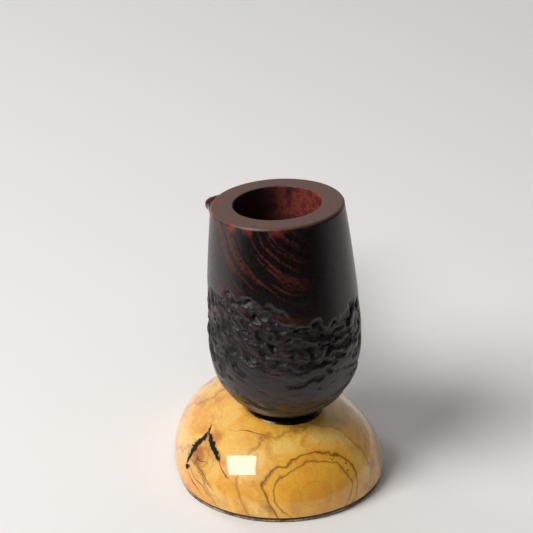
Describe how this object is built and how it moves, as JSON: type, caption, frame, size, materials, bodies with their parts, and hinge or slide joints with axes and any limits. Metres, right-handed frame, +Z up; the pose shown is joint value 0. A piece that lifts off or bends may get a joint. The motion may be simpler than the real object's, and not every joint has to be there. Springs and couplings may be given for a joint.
{
  "type": "tobacco pipe with rest",
  "caption": "Straight briar tobacco pipe with a tall barrel bowl and a push-fit mouthpiece, standing on a domed olive-wood rest with a ring seat.",
  "frame": {"origin": "on the flat underside of the rest, straight below the centre of the seat ring", "axes": "+Z up, +Y along the rest from the round front towards the mouthpiece, +X to the right seen from the front"},
  "size_m": [0.0509, 0.129, 0.073],
  "materials": {
    "olive_wood": "gloss",
    "black_rubber": "gloss",
    "pad_rubber": "matte",
    "tan_leather": "matte",
    "briar": "satin",
    "mouthpiece_red": "gloss",
    "tenon_black": "satin"
  },
  "bodies": {
    "rest": {"rest_body": "olive_wood", "seat_ring": "black_rubber", "base_pad": "pad_rubber", "base_sheet": "tan_leather"},
    "pipe": {"bowl_and_shank": "briar"},
    "bit": {"mouthpiece": "mouthpiece_red", "tenon": "tenon_black"}
  },
  "joints": [
    {"name": "pipe_lift", "type": "slide", "parent": "rest", "child": "pipe", "axis": [0, 0, 1], "range_m": [0, 0.06]},
    {"name": "mouthpiece_pull", "type": "slide", "parent": "pipe", "child": "bit", "axis": [0.1217, 0.9926, 0.0064], "range_m": [0, 0.025]}
  ]
}
